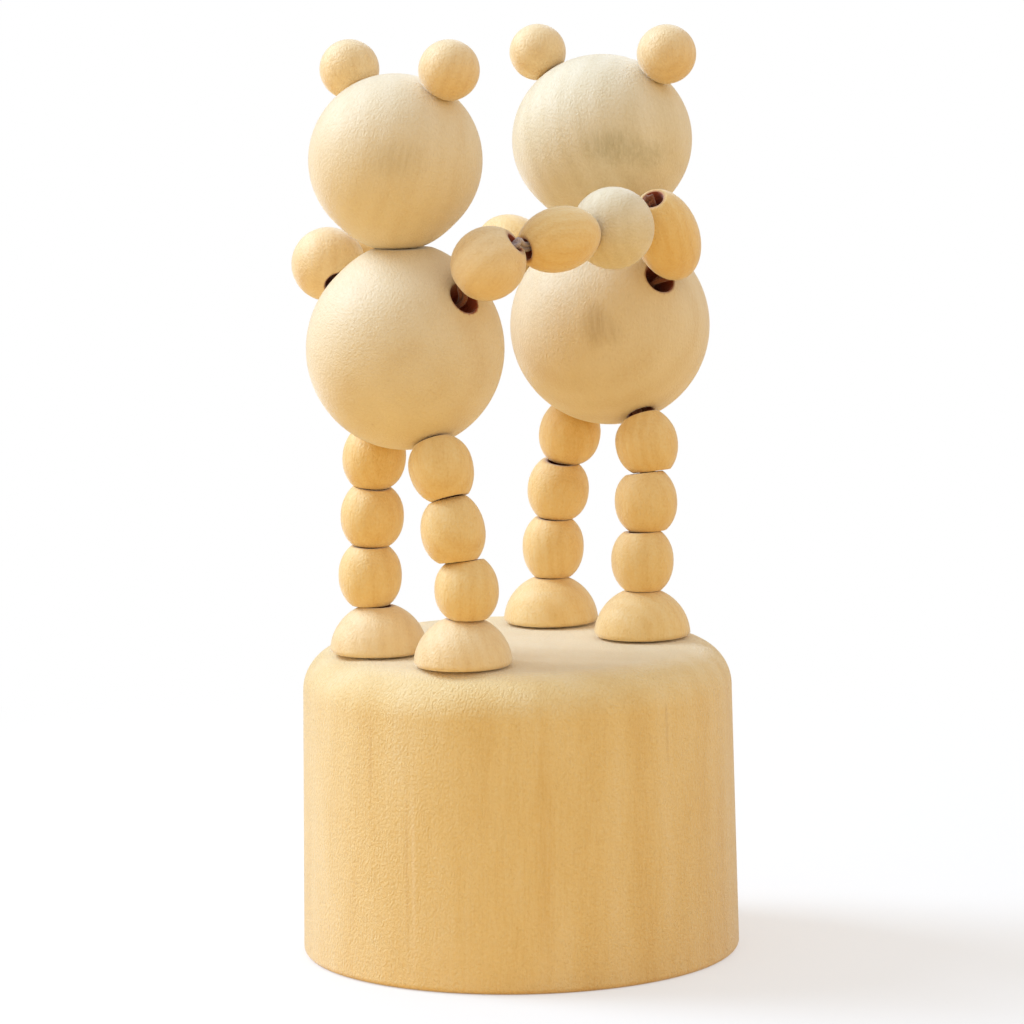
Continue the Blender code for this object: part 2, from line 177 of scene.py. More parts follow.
# How far from a body's middle its stretches of cord meet, towards a leg and towards a shoulder or the
# neck, how far out a cord bends before that, and where the end from the leg overlaps the body's own.
LEG_JOIN = 3.4
MOUTH_JOIN = 8.0
BEND = 3.6
HIP_OVERLAP = (9.5, 7.5)
# Which stretches of an arm's cord, counted from bear A's shoulder, run in the scorched holes and get the cord
# with painted shade.
SHADED_PARTS = {"minus_y": (0, 3, 4), "plus_y": (0, 4)}
# How far to each side of a seam a cord bends.
SEAM_HALF = 0.7

# Camera: a long lens 625 mm from a point on the base's axis, turned as the photo was taken.
AIM = Vector((0.0, 0.0, 62.0))
CAMERA_DISTANCE = 625.0
CAMERA_AZIMUTH = -43.87
CAMERA_ELEVATION = 7.31
CAMERA_ROLL = -0.96
SENSOR_WIDTH = 36.0
PHOTO_SIZE = 1024
FOCAL_PIXELS = 4902.0
AIM_PIXEL = (513.8, 468.9)

# Light: the power of the window and of the room's lamp in watts, the room's colour from the horizon up to
# the ceiling and its level, and the floor's colour as it lights the object and as the camera sees it.
WINDOW_WATTS = 8.3
LAMP_WATTS = 0.5
ROOM = "#ffe6b2"
CEILING = "#f0f4ff"
ROOM_LEVEL = 0.84
TABLE = "#e8ba66"
FLOOR_SEEN = "#f0ece8"


def spot(x, y, z):
    """A point measured from the base's axis, in metres."""
    return Vector((x + BASE_AXIS_X, y, z)) * MM


def turn_to(axis):
    """The rotation that takes Z to an axis."""
    return UP.rotation_difference(Vector(axis).normalized()).to_matrix().to_4x4()


def lean_axis(degrees):
    """The axis of a leg bead whose top leans towards -Y."""
    lean = math.radians(degrees)
    return Vector((0.0, -math.sin(lean), math.cos(lean)))


def body_middle(side):
    """The middle of the body that a leg or an arm belongs to."""
    return Vector(BODIES[side[0]][0])


def leg_direction(side):
    """From the body's middle to the top of the leg, along the hole drilled for it."""
    x, y, z, lean = LEGS[side][2]
    top = Vector((x, y, z)) + lean_axis(lean) * LEG_BEAD_HALF
    return (top - body_middle(side)).normalized()


# Materials

def linear(hex_colour):
    """An sRGB hex colour as the linear values that Blender's sockets take."""
    channels = [int(hex_colour[i:i + 2], 16) / 255 for i in (1, 3, 5)]
    return tuple(c / 12.92 if c <= 0.04045 else ((c + 0.055) / 1.055) ** 2.4 for c in channels) + (1.0,)


def set_sockets(tree, node, values=None, links=None):
    """Give a node's sockets their values, or the outputs that feed them."""
    for key, value in (values or {}).items():
        node.inputs[key].default_value = value
    for key, source in (links or {}).items():
        tree.links.new(source, node.inputs[key])


def add_node(tree, kind, values=None, links=None, **settings):
    """Add a shader node: settings are its properties, values and links go to its sockets."""
    node = tree.nodes.new("ShaderNode" + kind)
    for key, value in settings.items():
        setattr(node, key, value)
    set_sockets(tree, node, values, links)
    return node


def new_material(name):
    """A material, its node tree and its Principled shader."""
    mat = bpy.data.materials.new(name)
    mat.use_nodes = True
    return mat, mat.node_tree, mat.node_tree.nodes["Principled BSDF"]


def noise(tree, place, scale, detail, roughness=0.5):
    """Noise from 0 to 1 at a place."""
    values = {"Scale": scale, "Detail": detail, "Roughness": roughness}
    return add_node(tree, "TexNoise", values, {"Vector": place}).outputs["Fac"]


def stretched(tree, place, share):
    """A texture's place drawn out along Z, where its height counts for a share of itself."""
    return add_node(tree, "Mapping", {"Scale": (1.0, 1.0, share)}, {"Vector": place}).outputs["Vector"]


def eased(tree, value, starts, ends, low=0.0, high=1.0):
    """A value from a node, eased from low to high as it goes from starts to ends."""
    span = {"From Min": starts, "From Max": ends, "To Min": low, "To Max": high}
    node = add_node(tree, "MapRange", span, {"Value": value}, interpolation_type="SMOOTHSTEP")
    return node.outputs["Result"]


def object_place(tree):
    return add_node(tree, "TexCoord").outputs["Object"]


def bump(tree, height, strength, relief):
    """The normal over a relief of this many millimetres."""
    node = add_node(tree, "Bump", {"Strength": strength, "Distance": relief * MM}, {"Height": height})
    return node.outputs["Normal"]


def vector_step(tree, operation, first, second=None):
    """A step of vector sums, as a vector or, for LENGTH, a number."""
    values = None if second is None else {1: second}
    step = add_node(tree, "VectorMath", values, {0: first}, operation=operation)
    return step.outputs["Value" if operation == "LENGTH" else "Vector"]


def scaled(tree, source, factor, offset=0.0):
    """A value times a factor, plus an offset, which may itself come from a node."""
    values = {1: factor}
    links = {0: source}
    given = values if isinstance(offset, float) else links
    given[2] = offset
    return add_node(tree, "Math", values, links, operation="MULTIPLY_ADD").outputs["Value"]


def ramp(tree, source, stops):
    """A colour from a value, by stops as (value, hex colour)."""
    node = add_node(tree, "ValToRGB", links={"Fac": source})
    elements = node.color_ramp.elements
    for element, (place, colour) in zip(elements, (stops[0], stops[-1])):
        element.position = place
        element.color = linear(colour)
    for place, colour in stops[1:-1]:
        elements.new(place).color = linear(colour)
    return node.outputs["Color"]


# Lime wood, bare and sanded: pale, middle and dark tones of a cream, two honey-coloured and a greyer log.
CREAM = ("#f0e1c4", "#e9d8b6", "#dfc79c")
PALE_HONEY = ("#f8e3bb", "#f0d5a4", "#e1be85")
HONEY = ("#f6dfad", "#f0d090", "#e2b76e")
GREYER = ("#f1e7d0", "#e6d9bb", "#d6c59f")
BASE_TONES = ("#f5e1b6", "#eed399", "#e0bb73")
SCORCHED = "#9c4624"
# The cord is a cool grey-white in the open; where it runs in drilled holes it is the same cord painted brown,
# as painted shade.
CLEAN_CORD = ("#a79a9c", "#c9bdbf", "#e0d8da")
SHADED_CORD = ("#673a26", "#855036", "#a0704f")


def wood(name, middle, grain, heart, ring_gap, tones, figure=1.0, roughness=0.58, grit=1.0, marks=()):
    """Lime wood, turned on a lathe, sanded and left bare.

    Faint growth rings lie ring_gap mm apart around a heart to one side of the grain's line. Sanding leaves
    a slight fuzz that catches the light, and the drill scorches the wood around each hole.
    """
    mat, tree, shader = new_material("Lime_wood_" + name)
    place = object_place(tree)

    # Millimetres in the piece's own grain, with Z along it.
    turn = turn_to(grain).inverted()
    offset = -(turn @ spot(*middle)) / MM
    grained = add_node(tree, "Mapping", {
        "Location": offset, "Rotation": turn.to_euler(), "Scale": (1 / MM,) * 3,
    }, {"Vector": place}).outputs["Vector"]

    # Growth rings around the heart.
    from_heart = vector_step(tree, "SUBTRACT", grained, (*heart, 0.0))
    rings = add_node(tree, "TexWave", {
        "Scale": math.pi / (10 * ring_gap), "Distortion": 2.2, "Detail": 2.0, "Detail Scale": 0.6,
    }, {"Vector": stretched(tree, from_heart, 0.12)}, wave_type="RINGS", rings_direction="Z").outputs["Fac"]

    # Fibres 0.35 mm wide and a few mm long, short pores, soft bands 5 mm wide, and the fuzz.
    fibres = noise(tree, stretched(tree, grained, 0.06), 2.8, 3.0, 0.62)
    short = stretched(tree, grained, 0.2)
    pores = eased(tree, noise(tree, short, 4.2, 1.0), 0.6, 0.76, high=0.08)
    clouds = noise(tree, short, 0.2, 2.0)
    fuzz = noise(tree, stretched(tree, grained, 0.7), 3.7, 2.0, 0.55)

    # One tone from all of them, centred on 0.5.
    weights = ((rings, 0.2 * figure), (fibres, 0.26), (clouds, 0.45), (fuzz, 0.34))
    tone = 0.5 - 0.5 * sum(weight for source, weight in weights)
    for source, weight in weights:
        tone = scaled(tree, source, weight, tone)
    colour = ramp(tree, tone, ((0.22, tones[0]), (0.5, tones[1]), (0.8, tones[2])))
    colour = stain(tree, colour, pores, "#b98a4e")
    for where, size, shade, strength in marks:
        colour = stain(tree, colour, smudge(tree, place, fibres, where, size, strength), shade)
    scorched = add_node(tree, "Attribute", attribute_name="scorch").outputs["Fac"]
    colour = stain(tree, colour, scorched, SCORCHED)

    # Bare wood scatters light in its fibres, so it is rough, and rougher where the fibres stand up.
    rough = scaled(tree, fibres, 0.3, roughness - 0.15)
    # The relief: fibres and fuzz stand about 0.05 mm proud.
    relief = bump(tree, scaled(tree, fuzz, grit, scaled(tree, fibres, 0.4)), 0.8, 0.13)
    set_sockets(tree, shader, {"IOR": 1.5, "Sheen Weight": 0.8, "Sheen Roughness": 0.4},
                {"Base Color": colour, "Roughness": rough, "Normal": relief})
    return mat


def stain(tree, colour, amount, shade):
    """Shift a colour towards a darker or lighter shade by an amount from 0 to 1."""
    node = add_node(tree, "Mix", {7: linear(shade)}, {0: amount, 6: colour}, data_type="RGBA")
    return node.outputs[2]


def smudge(tree, place, fibres, where, size, strength):
    """How much of a stain shows: most at its middle, broken up by the fibres, none past its size in mm."""
    apart = vector_step(tree, "SUBTRACT", place, spot(*where))
    shares = vector_step(tree, "MULTIPLY", apart, [1 / (MM * reach) for reach in size])
    inside = eased(tree, vector_step(tree, "LENGTH", shares), 1.0, 0.15, high=strength)
    uneven = add_node(tree, "MapRange", {"From Min": 0.3, "From Max": 0.7, "To Min": 0.35}, {"Value": fibres})
    both = add_node(tree, "Math", links={0: inside, 1: uneven.outputs["Result"]}, operation="MULTIPLY")
    return both.outputs["Value"]


def cotton_cord(name, tones):
    """Dull cotton, with threads about 0.12 mm across drawn as fine noise."""
    mat, tree, shader = new_material(name)
    threads = noise(tree, object_place(tree), 7000.0, 2.0)
    colour = ramp(tree, threads, ((0.3, tones[0]), (0.55, tones[1]), (0.75, tones[2])))
    set_sockets(tree, shader, {"Roughness": 0.9, "Sheen Weight": 0.3},
                {"Base Color": colour, "Normal": bump(tree, threads, 0.7, 0.04)})
    return mat


def spring_steel(name):
    """Drawn spring steel wire: grey, with fine marks along the wire and a dull shine."""
    mat, tree, shader = new_material(name)
    drawn = noise(tree, object_place(tree), 4000.0, 2.0)
    colour = ramp(tree, drawn, ((0.3, "#7d7e80"), (0.7, "#a3a4a6")))
    set_sockets(tree, shader, {"Metallic": 1.0},
                {"Base Color": colour, "Roughness": scaled(tree, drawn, 0.25, 0.22)})
    return mat


# Making pieces

def new_object(name, data):
    made = bpy.data.objects.new(name, data)
    bpy.context.scene.collection.objects.link(made)
    return made


def new_mesh(name, bm, mat):
    """An object from a shape in metres, with smooth faces."""
    mesh = bpy.data.meshes.new(name)
    bm.to_mesh(mesh)
    bm.free()
    mesh.materials.append(mat)
    for face in mesh.polygons:
        face.use_smooth = True
    return new_object(name, mesh)


def riding_piece(name, bm, mat, body, node, holes=()):
    """A piece that moves with one body and stands for a CAD node, scorched around its holes."""
    piece = new_mesh(name, bm, mat)
    if holes:
        scorch(piece.data, holes)
    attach(piece, body)
    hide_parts(node)


def blended_piece(name, bm, mat, node):
    """A piece that stands for a CAD node and stays where it is made, on no body."""
    piece = new_mesh(name, bm, mat)
    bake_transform(piece)
    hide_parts(node)


def scorch(mesh, holes):
    """Store on each point how close it is to a drilled hole: 1 in the hole, 0 past the scorched rim."""
    fade = SCORCH - 0.1
    marks = mesh.attributes.new("scorch", "FLOAT", "POINT")
    for vert in mesh.vertices:
        most = 0.0
        for start, direction, radius in holes:
            apart = vert.co - start
            ahead = apart.dot(direction)
            off_axis = (apart - direction * ahead).length / MM
            if ahead > 0 and off_axis < radius + SCORCH:
                most = max(most, min(1.0, (radius + SCORCH - off_axis) / fade))
        marks.data[vert.index].value = most


def spin(bm, profile, steps, closed=False, x=0.0, y=0.0):
    """Spin a profile of (radius, z) in millimetres about a line along Z."""
    verts = [bm.verts.new(((x + r) * MM, y * MM, z * MM)) for r, z in profile]
    edges = [bm.edges.new(pair) for pair in zip(verts, verts[1:])]
    if closed:
        edges.append(bm.edges.new((verts[-1], verts[0])))
    bmesh.ops.spin(bm, geom=verts + edges, cent=(x * MM, y * MM, 0), axis=(0, 0, 1),
                   angle=2 * math.pi, steps=steps, use_merge=True)
    bmesh.ops.remove_doubles(bm, verts=bm.verts[:], dist=0.002 * MM)


def turned(profile, steps, closed):
    """A shape turned about Z from its profile."""
    bm = bmesh.new()
    spin(bm, profile, steps, closed)
    bmesh.ops.recalc_face_normals(bm, faces=bm.faces[:])
    return bm


def stand(bm, middle, axis):
    """Put a shape modelled about Z at a place, with its Z turned to an axis."""
    bmesh.ops.transform(bm, matrix=Matrix.Translation(spot(*middle)) @ turn_to(axis), verts=bm.verts[:])


def quarter_round(radius, height, size, down, steps):
    """A rounded corner, from the level face to the side: down is 1 for an upper edge, -1 for a lower one."""
    points = []
    for i in range(steps + 1):
        angle = math.radians(90 * i / steps)
        points.append((radius - size * (1 - math.sin(angle)), height - down * size * (1 - math.cos(angle))))
    return points


def rim(hole, face, inwards):
    """The worn edge of a hole, from its wall to the face: inwards is +1 or -1, the way into the wood."""
    return [(hole, face + inwards * EDGE), (hole + 0.3 * EDGE, face + inwards * 0.3 * EDGE),
            (hole + EDGE, face)]


def bead_profile(radius, flat, down, up, fullness, hole, rows=18):
    """A rounded bead with a flat at both ends, down and up from its middle, and a hole along its axis."""
    outside = []
    for i in range(rows + 1):
        share = -math.cos(math.pi * i / rows)
        waist = abs(share) ** fullness * (1 - (flat / radius) ** fullness)
        outside.append((radius * (1 - waist) ** (1 / fullness), share * (down if share < 0 else up)))
    return rim(hole, -down, 1) + outside + rim(hole, up, -1)[::-1]


def settle(bm, middle, along, ends):
    """Tilt a bead's ends until each lies flat on its neighbour: ends has the reach and facing of both.

    The tilt fades with the fourth power of the height, so the bead's waist stays round.
    """
    for vert in bm.verts:
        apart = vert.co - spot(*middle)
        ahead = apart.dot(along)
        reach, face = ends[1] if ahead > 0 else ends[0]
        tilt = -(apart - along * ahead).dot(face) / along.dot(face)
        vert.co += along * tilt * min(1.0, abs(ahead) / (reach * MM)) ** 4


def make_bead(node, middle, axis, profile, mat, hole, ends=None):
    """A bead of a leg or an arm, with its hole scorched all through."""
    bm = turned(profile, 56, closed=True)
    stand(bm, middle, axis)
    along = Vector(axis).normalized()
    if ends:
        settle(bm, middle, along, ends)
    before_any_end = 9.0
    start = spot(*(Vector(middle) - along * before_any_end))
    riding_piece(node + "_bead", bm, mat, node, node, holes=[(start, along, hole)])


# The base, the button in it and the spring between them

def fill_flat(bm, outline, rings):
    """Fill a flat face between its outline and the rings of the holes in it, and leave those open."""
    edges = outline + [edge for ring in rings for edge in ring]
    verts = list({vert for edge in edges for vert in edge.verts})
    number = {vert: i for i, vert in enumerate(verts)}
    pairs = [[number[vert] for vert in edge.verts] for edge in edges]
    inside = 1
    filled = geometry.delaunay_2d_cdt([vert.co.xy / MM for vert in verts], pairs, [], inside, 0.0001)
    given = [source[0] for source in filled[3]]
    holes = [{vert for edge in ring for vert in edge.verts} for ring in rings]
    for corners in filled[2]:
        trio = [verts[given[corner]] for corner in corners]
        if not any(hole.issuperset(trio) for hole in holes):
            bm.faces.new(trio)


def ring_edges(bm, radius, z, x=0.0, y=0.0):
    """The edges that lie on one level circle."""
    near = 0.01 * MM
    middle = Vector((x, y, z)) * MM
    found = []
    for edge in bm.edges:
        apart = [vert.co - middle for vert in edge.verts]
        if all(abs(v.z) < near and abs(v.xy.length - radius * MM) < near for v in apart):
            found.append(edge)
    return found


def drilled_block(profile, steps, hole):
    """A block turned from an open profile, with a hole at each foot, and closed flat at both ends."""
    bm = bmesh.new()
    spin(bm, profile, steps)
    for x, y in FEET.values():
        spin(bm, hole, 40, x=x, y=y)
    for end in (0, -1):
        radius, z = profile[end]
        rings = [ring_edges(bm, hole[end][0], z, x, y) for x, y in FEET.values()]
        fill_flat(bm, ring_edges(bm, radius, z), rings)
    bmesh.ops.recalc_face_normals(bm, faces=bm.faces[:])
    bmesh.ops.translate(bm, vec=spot(0, 0, 0), verts=bm.verts[:])
    return bm


def foot_holes(height):
    """The holes drilled under the feet, as scorch wants them, from a height up."""
    return [(spot(x, y, height), UP, CORD_HOLE_RADIUS) for x, y in FEET.values()]


def make_base():
    """The block, turned with a rounded top edge, bored from below and drilled for the cords."""
    profile = quarter_round(BASE_TOP_RADIUS, BASE_HEIGHT, BASE_TOP_ROUND, 1, 24)
    profile += quarter_round(BASE_BOTTOM_RADIUS, 0.0, BASE_FOOT_ROUND, -1, 8)[::-1]
    profile += [(BORE_RADIUS + 0.5, 0.0), (BORE_RADIUS + 0.15, 0.12), (BORE_RADIUS, 0.5)]
    profile += [(BORE_RADIUS, BORE_CEILING - 0.4), (BORE_RADIUS - 0.4, BORE_CEILING)]
    hole = [(CLEAN_RADIUS, BASE_HEIGHT), (CORD_HOLE_RADIUS + EDGE, BASE_HEIGHT),
            (CORD_HOLE_RADIUS, BASE_HEIGHT - EDGE), (CORD_HOLE_RADIUS, BORE_CEILING),
            (CLEAN_RADIUS, BORE_CEILING)]
    bm = drilled_block(profile, 160, hole)
    # Marks as place, size, shade and strength: a thin dark line, the pale one beside it, a painted highlight
    # along a raised ridge, a rough patch, a crack, a darker band, and the top painted paler as painted light
    # from above.
    marks = [
        ((-26.75, -7.5, 20.0), (0.3, 0.4, 34.0), "#bf8c4c", 0.22),
        # Painted highlight along a raised ridge.
        ((-26.5, -8.4, 20.0), (0.35, 0.45, 32.0), "#fdeccd", 0.5),
        ((-27.9, -2.0, 30.0), (0.8, 0.6, 9.0), "#b98344", 0.45),
        ((-0.8, -27.8, 32.0), (0.4, 0.9, 7.0), "#a8783c", 0.35),
        ((-17.0, -22.1, 18.0), (1.6, 1.6, 24.0), "#d6a64c", 0.3),
        # Painted light: the top made paler, as it is lit from above.
        ((0.0, 0.0, 39.6), (40.0, 40.0, 1.6), "#f8e6c4", 0.9),
    ]
    mat = wood("base", (0, 0, 0), (0.02, -0.015, 1), (60.0, 20.0), 4.6, BASE_TONES, figure=0.45,
               roughness=0.62, grit=1.9, marks=marks)
    holes = foot_holes(BORE_CEILING - 1)
    riding_piece("base_block_turned", bm, mat, "base", "base_block", holes)


def make_button():
    """The plunger that is pressed from below, with a pocket for each knot and a drilled hole above it."""
    edge = 0.6
    worn = 0.08
    shoulder = BUTTON_BOTTOM + KNOT_POCKET_DEPTH
    profile = quarter_round(BUTTON_RADIUS, BUTTON_BOTTOM, edge, -1, 6)
    profile += quarter_round(BUTTON_RADIUS, BUTTON_TOP, edge, 1, 6)[::-1]
    pocket = [(KNOT_POCKET_RADIUS + worn, BUTTON_BOTTOM), (KNOT_POCKET_RADIUS, BUTTON_BOTTOM + worn),
              (KNOT_POCKET_RADIUS, shoulder), (CORD_HOLE_RADIUS, shoulder),
              (CORD_HOLE_RADIUS, BUTTON_TOP), (CLEAN_RADIUS, BUTTON_TOP)]
    bm = drilled_block(profile, 120, pocket)
    holes = foot_holes(BUTTON_BOTTOM - 1)
    mat = wood("button", (0, 0, BUTTON_BOTTOM), (1, 0.2, 0.05), (6.0, 30.0), 2.6, BASE_TONES, figure=1.2,
               roughness=0.66)
    riding_piece("push_button_turned", bm, mat, "button", "push_button", holes)


def tube_mesh(bm, points, radius, sides=8, closed=False):
    """Add a round tube along points in metres: a smooth curve through them, made a mesh."""
    curve = bpy.data.curves.new("tube", "CURVE")
    curve.dimensions = "3D"
    curve.bevel_depth = radius * MM
    curve.bevel_resolution = max(0, (sides - 4) // 2)
    curve.use_fill_caps = not closed
    spline = curve.splines.new("POLY")
    spline.points.add(len(points) - 1)
    spline.use_cyclic_u = closed
    for target, point in zip(spline.points, points):
        target.co = (*point, 1.0)
    holder = new_object("tube", curve)
    graph = bpy.context.evaluated_depsgraph_get()
    mesh = bpy.data.meshes.new_from_object(holder.evaluated_get(graph))
    bm.from_mesh(mesh)
    bmesh.ops.remove_doubles(bm, verts=bm.verts[:], dist=0.002 * MM)
    bpy.data.meshes.remove(mesh)
    bpy.data.objects.remove(holder, do_unlink=True)
    bpy.data.curves.remove(curve)


def make_spring():
    """The coil between the button and the bore's ceiling, with a little room at both ends."""
    gap = 0.3
    low = BUTTON_TOP + gap + SPRING_WIRE_RADIUS
    high = BORE_CEILING - gap - SPRING_WIRE_RADIUS
    around = 36
    steps = around * SPRING_TURNS
    points = []
    for i in range(steps + 1):
        angle = 2 * math.pi * i / around
        height = low + (high - low) * i / steps
        points.append(spot(SPRING_RADIUS * math.cos(angle), SPRING_RADIUS * math.sin(angle), height))
    bm = bmesh.new()
    tube_mesh(bm, points, SPRING_WIRE_RADIUS, sides=12)
    steel = spring_steel("Drawn_spring_steel")
    blended_piece("return_spring_coil", bm, steel, "return_spring")


# The bears

def make_feet():
    """Half balls with a softened lower edge, glued a hair above the block."""
    for side, (x, y) in FEET.items():
        soft = 0.35
        profile = rim(HOLE_RADIUS, 0.0, 1) + [(FOOT_RADIUS - 2 * soft, 0.0), (FOOT_RADIUS - soft, 0.06)]
        steps = 24
        for i in range(steps + 1):
            height = soft + (FOOT_HEIGHT - soft) * math.sin(math.radians(90 * i / steps))
            profile.append((math.sqrt(FOOT_RADIUS ** 2 - height ** 2), height))
        profile += rim(HOLE_RADIUS, FOOT_HEIGHT, -1)[::-1]
        bm = turned(profile, 72, closed=True)
        middle = (x, y, BASE_HEIGHT + FOOT_GAP)
        stand(bm, middle, UP)
        tones = PALE_HONEY if side[0] == "a" else HONEY
        mat = bead_wood("foot_" + side, middle, UP, tones)
        riding_piece("foot_%s_half_ball" % side, bm, mat, "base", "foot_" + side,
                     [(spot(x, y, BASE_HEIGHT), UP, HOLE_RADIUS)])


def bead_wood(name, middle, axis, tones, marks=()):
    """The wood of a small bead, cut from a dowel, so its grain runs near its axis."""
    grain = Vector(axis).normalized() + Vector([chance.uniform(-0.25, 0.25) for i in range(3)])
    angle = chance.uniform(0, 2 * math.pi)
    distance = chance.uniform(5, 16)
    heart = (distance * math.cos(angle), distance * math.sin(angle))
    ring_gap = chance.uniform(1.2, 2.2)
    return wood(name, middle, grain, heart, ring_gap, tones, figure=0.45, grit=1.2, marks=marks)


def leg_beads(side):
    """Each bead of a leg: its middle, its axis, and the reach and facing of its lower and upper ends."""
    beads = [(Vector(bead[:3]), lean_axis(bead[3])) for bead in LEGS[side]]
    # A point on each seam and the way it faces, from the foot up to the hole in the body.
    seams = [(UP * (FOOT_TOP + SEAM_ROOM / 2), UP)]
    for (below, low_axis), (above, high_axis) in zip(beads, beads[1:]):
        seams.append(((below + above) / 2, (low_axis + high_axis).normalized()))
    middle, across, half = BODIES[side[0]]
    out = leg_direction(side)
    mouth = out * math.sqrt(across ** 2 - (HOLE_RADIUS + EDGE) ** 2)
    mouth.z *= half / across
    hip = (beads[-1][1] * HIP_ALONG_LEG - out * (1 - HIP_ALONG_LEG)).normalized()
    seams.append((Vector(middle) + mouth + out * HIP_ROOM[side], hip))
    found = []
    for (bead, axis), low, high in zip(beads, seams, seams[1:]):
        ends = []
        for point, face in (low, high):
            ends.append((abs((point - bead).dot(face) / axis.dot(face)) - SEAM_ROOM / 2, face))
        found.append((bead, axis, ends))
    return found


def make_legs():
    marks = {"a_left_leg_1": [((-19.28, 6.75, 51.57), (0.5, 0.5, 0.5), "#b07f44", 0.7)]}
    for side in LEGS:
        for i, (middle, axis, ends) in enumerate(leg_beads(side)):
            node = "%s_leg_%d" % (side, i + 1)
            mat = bead_wood(node, middle, axis, HONEY, marks.get(node, ()))
            profile = bead_profile(LEG_BEAD_RADIUS, LEG_BEAD_FLAT, ends[0][0], ends[1][0],
                                   LEG_BEAD_FULLNESS, HOLE_RADIUS)
            make_bead(node, middle, axis, profile, mat, HOLE_RADIUS, ends)


def make_arms():
    paler = {"b_left_arm_2": GREYER, "a_right_arm_1": PALE_HONEY, "a_left_arm_1": PALE_HONEY}
    for arm, beads in ARMS.items():
        for node, middle, axis, radius, half, flat in beads:
            mat = bead_wood(node, middle, axis, paler.get(node, HONEY))
            profile = bead_profile(radius, flat, half, half, ARM_BEAD_FULLNESS, ARM_HOLES[arm])
            make_bead(node, middle, axis, profile, mat, ARM_HOLES[arm])


def open_holes(bm, faces, size, holes):
    """Cut round holes in a ball about the origin, and return the ring of edges around each.

    The faces inside a hole's circle go, and the ragged edge that is left moves onto the circle.
    """
    rings = []
    for way, radius in holes:
        def off_axis(point):
            return (point - way * point.dot(way)).length if point.dot(way) > 0 else size * MM

        doomed = [face for face in faces if off_axis(face.calc_center_median()) < radius * MM]
        faces = [face for face in faces if face not in set(doomed)]
        bmesh.ops.delete(bm, geom=doomed, context="FACES")
        ring = []
        for edge in {edge for face in faces for edge in face.edges if edge.is_boundary}:
            if off_axis((edge.verts[0].co + edge.verts[1].co) / 2) < radius * MM * 1.5:
                ring.append(edge)
        for vert in {vert for edge in ring for vert in edge.verts}:
            aside = (vert.co - way * vert.co.dot(way)).normalized() * radius
            vert.co = (aside + way * math.sqrt(size ** 2 - radius ** 2)) * MM
        rings.append(ring)
    return rings


def fuller(height):
    """A ball is a little fuller towards the neck, and flat at it: heights are shares of its half height."""
    starts = 0.7
    gain = 0.05
    near = max(0.0, (height - starts) / (1 - starts))
    return min(1.0, height * (1 + gain * near * near * (3 - 2 * near)))


def drilled_ball(radius, half, holes):
    """A ball about the origin, drilled from outside to the hollow where its holes meet, and flat on top."""
    bm = bmesh.new()
    bmesh.ops.create_icosphere(bm, subdivisions=7, radius=radius * MM)
    skin = bm.faces[:]
    outer = open_holes(bm, skin, radius, [(way, size + EDGE) for way, size in holes])
    for (way, size), ring in zip(holes, outer):
        made = bmesh.ops.extrude_edge_only(bm, edges=ring)["geom"]
        level = math.sqrt(radius ** 2 - size ** 2) - EDGE
        for item in made:
            if isinstance(item, bmesh.types.BMVert):
                aside = (item.co - way * item.co.dot(way)).normalized()
                item.co = (aside * size + way * level) * MM
        ring[:] = [item for item in made if isinstance(item, bmesh.types.BMEdge) and item.is_boundary]
    hollow = bmesh.ops.create_icosphere(bm, subdivisions=5, radius=CHAMBER_RADIUS * MM)["verts"]
    inside = list({face for vert in hollow for face in vert.link_faces})
    inner = open_holes(bm, inside, CHAMBER_RADIUS, holes)
    for far, near in zip(outer, inner):
        bmesh.ops.bridge_loops(bm, edges=far + near)
    for vert in bm.verts:
        vert.co.z = fuller(vert.co.z / (radius * MM)) * half * MM
    bmesh.ops.recalc_face_normals(bm, faces=bm.faces[:])
    return bm


def make_bodies():
    looks = {
        "a": dict(grain=(-0.56, -0.8, -0.21), heart=(0.0, 0.0), ring_gap=5.6, tones=CREAM, figure=0.5, marks=[
            ((-25.59, -1.68, 70.44), (0.35, 0.35, 0.4), "#9c6a34", 0.9),
        ]),
        "b": dict(grain=(0.1, 0.15, 1.0), heart=(14.0, 7.0), ring_gap=3.0, tones=CREAM, figure=0.6, marks=[
            ((7.11, -7.92, 80.4), (2.6, 2.6, 4.0), "#b0966a", 0.5),
            ((9.0, -9.4, 79.2), (1.6, 1.6, 2.6), "#b0966a", 0.35),
        ]),
    }
    for bear, look in looks.items():
        middle, radius, half = BODIES[bear]
        holes = [(UP, NECK_HOLE_RADIUS)]
        for side in (bear + "_left", bear + "_right"):
            holes.append((leg_direction(side), HOLE_RADIUS))
            holes.append((Vector(SHOULDERS[side]).normalized(), SHOULDER_HOLE_RADIUS))
        bm = drilled_ball(radius, half, holes)
        bmesh.ops.translate(bm, vec=spot(*middle), verts=bm.verts[:])
        body = bear + "_body"
        mat = wood(body, middle, **look)
        scorched = [(spot(*middle), way, size) for way, size in holes]
        riding_piece(body + "_ball", bm, mat, body, body, scorched)


